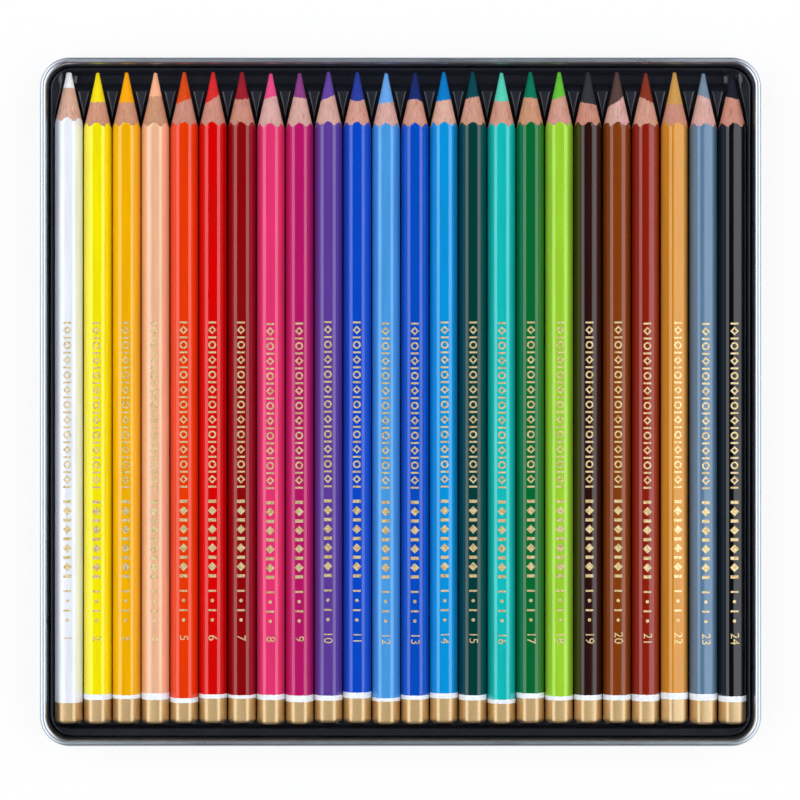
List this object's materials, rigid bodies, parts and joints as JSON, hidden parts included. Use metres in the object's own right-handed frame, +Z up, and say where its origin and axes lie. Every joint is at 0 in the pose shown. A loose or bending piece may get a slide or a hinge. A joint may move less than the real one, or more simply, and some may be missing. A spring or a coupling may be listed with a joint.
{
  "type": "colored pencil box",
  "caption": "Open flat metal tin with a formed black tray that cradles a row of sharpened hexagonal colour pencils; tray and pencils lift out.",
  "frame": {"origin": "middle of the underside of the tin's floor", "axes": "+X along the row of pencils, +Y towards their points, +Z up out of the tin"},
  "size_m": [0.193, 0.1844, 0.01],
  "materials": {
    "tinplate": "bright drawn tinplate",
    "tray_plastic": "black vacuum formed sheet, glossy",
    "lacquer_white": "gloss lacquer on wood, bare wood at the point",
    "pigment_white": "matt waxy pigment core",
    "lacquer_lemon": "gloss lacquer on wood, bare wood at the point",
    "pigment_lemon": "matt waxy pigment core",
    "lacquer_amber": "gloss lacquer on wood, bare wood at the point",
    "pigment_amber": "matt waxy pigment core",
    "lacquer_peach": "gloss lacquer on wood, bare wood at the point",
    "pigment_peach": "matt waxy pigment core",
    "lacquer_orange": "gloss lacquer on wood, bare wood at the point",
    "pigment_orange": "matt waxy pigment core",
    "lacquer_red": "gloss lacquer on wood, bare wood at the point",
    "pigment_red": "matt waxy pigment core",
    "lacquer_crimson": "gloss lacquer on wood, bare wood at the point",
    "pigment_crimson": "matt waxy pigment core",
    "lacquer_pink": "gloss lacquer on wood, bare wood at the point",
    "pigment_pink": "matt waxy pigment core",
    "lacquer_magenta": "gloss lacquer on wood, bare wood at the point",
    "pigment_magenta": "matt waxy pigment core",
    "lacquer_violet": "gloss lacquer on wood, bare wood at the point",
    "pigment_violet": "matt waxy pigment core",
    "lacquer_cobalt": "gloss lacquer on wood, bare wood at the point",
    "pigment_cobalt": "matt waxy pigment core",
    "lacquer_sky": "gloss lacquer on wood, bare wood at the point",
    "pigment_sky": "matt waxy pigment core",
    "lacquer_navy": "gloss lacquer on wood, bare wood at the point",
    "pigment_navy": "matt waxy pigment core",
    "lacquer_azure": "gloss lacquer on wood, bare wood at the point",
    "pigment_azure": "matt waxy pigment core",
    "lacquer_pine": "gloss lacquer on wood, bare wood at the point",
    "pigment_pine": "matt waxy pigment core",
    "lacquer_turquoise": "gloss lacquer on wood, bare wood at the point",
    "pigment_turquoise": "matt waxy pigment core",
    "lacquer_forest": "gloss lacquer on wood, bare wood at the point",
    "pigment_forest": "matt waxy pigment core",
    "lacquer_lime": "gloss lacquer on wood, bare wood at the point",
    "pigment_lime": "matt waxy pigment core",
    "lacquer_umber": "gloss lacquer on wood, bare wood at the point",
    "pigment_umber": "matt waxy pigment core",
    "lacquer_sienna": "gloss lacquer on wood, bare wood at the point",
    "pigment_sienna": "matt waxy pigment core",
    "lacquer_russet": "gloss lacquer on wood, bare wood at the point",
    "pigment_russet": "matt waxy pigment core",
    "lacquer_ochre": "gloss lacquer on wood, bare wood at the point",
    "pigment_ochre": "matt waxy pigment core",
    "lacquer_slate": "gloss lacquer on wood, bare wood at the point",
    "pigment_slate": "matt waxy pigment core",
    "lacquer_black": "gloss lacquer on wood, bare wood at the point",
    "pigment_black": "matt waxy pigment core"
  },
  "bodies": {
    "tin": {"tin": "tinplate"},
    "tray": {"insert_tray": "tray_plastic"},
    "pencil_white": {"casing_white": "lacquer_white", "core_white": "pigment_white"},
    "pencil_lemon": {"casing_lemon": "lacquer_lemon", "core_lemon": "pigment_lemon"},
    "pencil_amber": {"casing_amber": "lacquer_amber", "core_amber": "pigment_amber"},
    "pencil_peach": {"casing_peach": "lacquer_peach", "core_peach": "pigment_peach"},
    "pencil_orange": {"casing_orange": "lacquer_orange", "core_orange": "pigment_orange"},
    "pencil_red": {"casing_red": "lacquer_red", "core_red": "pigment_red"},
    "pencil_crimson": {"casing_crimson": "lacquer_crimson", "core_crimson": "pigment_crimson"},
    "pencil_pink": {"casing_pink": "lacquer_pink", "core_pink": "pigment_pink"},
    "pencil_magenta": {"casing_magenta": "lacquer_magenta", "core_magenta": "pigment_magenta"},
    "pencil_violet": {"casing_violet": "lacquer_violet", "core_violet": "pigment_violet"},
    "pencil_cobalt": {"casing_cobalt": "lacquer_cobalt", "core_cobalt": "pigment_cobalt"},
    "pencil_sky": {"casing_sky": "lacquer_sky", "core_sky": "pigment_sky"},
    "pencil_navy": {"casing_navy": "lacquer_navy", "core_navy": "pigment_navy"},
    "pencil_azure": {"casing_azure": "lacquer_azure", "core_azure": "pigment_azure"},
    "pencil_pine": {"casing_pine": "lacquer_pine", "core_pine": "pigment_pine"},
    "pencil_turquoise": {"casing_turquoise": "lacquer_turquoise", "core_turquoise": "pigment_turquoise"},
    "pencil_forest": {"casing_forest": "lacquer_forest", "core_forest": "pigment_forest"},
    "pencil_lime": {"casing_lime": "lacquer_lime", "core_lime": "pigment_lime"},
    "pencil_umber": {"casing_umber": "lacquer_umber", "core_umber": "pigment_umber"},
    "pencil_sienna": {"casing_sienna": "lacquer_sienna", "core_sienna": "pigment_sienna"},
    "pencil_russet": {"casing_russet": "lacquer_russet", "core_russet": "pigment_russet"},
    "pencil_ochre": {"casing_ochre": "lacquer_ochre", "core_ochre": "pigment_ochre"},
    "pencil_slate": {"casing_slate": "lacquer_slate", "core_slate": "pigment_slate"},
    "pencil_black": {"casing_black": "lacquer_black", "core_black": "pigment_black"}
  },
  "joints": [
    {"name": "tray_lift", "type": "slide", "parent": "tin", "child": "tray", "axis": [0, 0, 1], "range_m": [0, 0.04]},
    {"name": "white_lift", "type": "slide", "parent": "tray", "child": "pencil_white", "axis": [0, 0, 1], "range_m": [0, 0.05]},
    {"name": "lemon_lift", "type": "slide", "parent": "tray", "child": "pencil_lemon", "axis": [0, 0, 1], "range_m": [0, 0.05]},
    {"name": "amber_lift", "type": "slide", "parent": "tray", "child": "pencil_amber", "axis": [0, 0, 1], "range_m": [0, 0.05]},
    {"name": "peach_lift", "type": "slide", "parent": "tray", "child": "pencil_peach", "axis": [0, 0, 1], "range_m": [0, 0.05]},
    {"name": "orange_lift", "type": "slide", "parent": "tray", "child": "pencil_orange", "axis": [0, 0, 1], "range_m": [0, 0.05]},
    {"name": "red_lift", "type": "slide", "parent": "tray", "child": "pencil_red", "axis": [0, 0, 1], "range_m": [0, 0.05]},
    {"name": "crimson_lift", "type": "slide", "parent": "tray", "child": "pencil_crimson", "axis": [0, 0, 1], "range_m": [0, 0.05]},
    {"name": "pink_lift", "type": "slide", "parent": "tray", "child": "pencil_pink", "axis": [0, 0, 1], "range_m": [0, 0.05]},
    {"name": "magenta_lift", "type": "slide", "parent": "tray", "child": "pencil_magenta", "axis": [0, 0, 1], "range_m": [0, 0.05]},
    {"name": "violet_lift", "type": "slide", "parent": "tray", "child": "pencil_violet", "axis": [0, 0, 1], "range_m": [0, 0.05]},
    {"name": "cobalt_lift", "type": "slide", "parent": "tray", "child": "pencil_cobalt", "axis": [0, 0, 1], "range_m": [0, 0.05]},
    {"name": "sky_lift", "type": "slide", "parent": "tray", "child": "pencil_sky", "axis": [0, 0, 1], "range_m": [0, 0.05]},
    {"name": "navy_lift", "type": "slide", "parent": "tray", "child": "pencil_navy", "axis": [0, 0, 1], "range_m": [0, 0.05]},
    {"name": "azure_lift", "type": "slide", "parent": "tray", "child": "pencil_azure", "axis": [0, 0, 1], "range_m": [0, 0.05]},
    {"name": "pine_lift", "type": "slide", "parent": "tray", "child": "pencil_pine", "axis": [0, 0, 1], "range_m": [0, 0.05]},
    {"name": "turquoise_lift", "type": "slide", "parent": "tray", "child": "pencil_turquoise", "axis": [0, 0, 1], "range_m": [0, 0.05]},
    {"name": "forest_lift", "type": "slide", "parent": "tray", "child": "pencil_forest", "axis": [0, 0, 1], "range_m": [0, 0.05]},
    {"name": "lime_lift", "type": "slide", "parent": "tray", "child": "pencil_lime", "axis": [0, 0, 1], "range_m": [0, 0.05]},
    {"name": "umber_lift", "type": "slide", "parent": "tray", "child": "pencil_umber", "axis": [0, 0, 1], "range_m": [0, 0.05]},
    {"name": "sienna_lift", "type": "slide", "parent": "tray", "child": "pencil_sienna", "axis": [0, 0, 1], "range_m": [0, 0.05]},
    {"name": "russet_lift", "type": "slide", "parent": "tray", "child": "pencil_russet", "axis": [0, 0, 1], "range_m": [0, 0.05]},
    {"name": "ochre_lift", "type": "slide", "parent": "tray", "child": "pencil_ochre", "axis": [0, 0, 1], "range_m": [0, 0.05]},
    {"name": "slate_lift", "type": "slide", "parent": "tray", "child": "pencil_slate", "axis": [0, 0, 1], "range_m": [0, 0.05]},
    {"name": "black_lift", "type": "slide", "parent": "tray", "child": "pencil_black", "axis": [0, 0, 1], "range_m": [0, 0.05]}
  ]
}
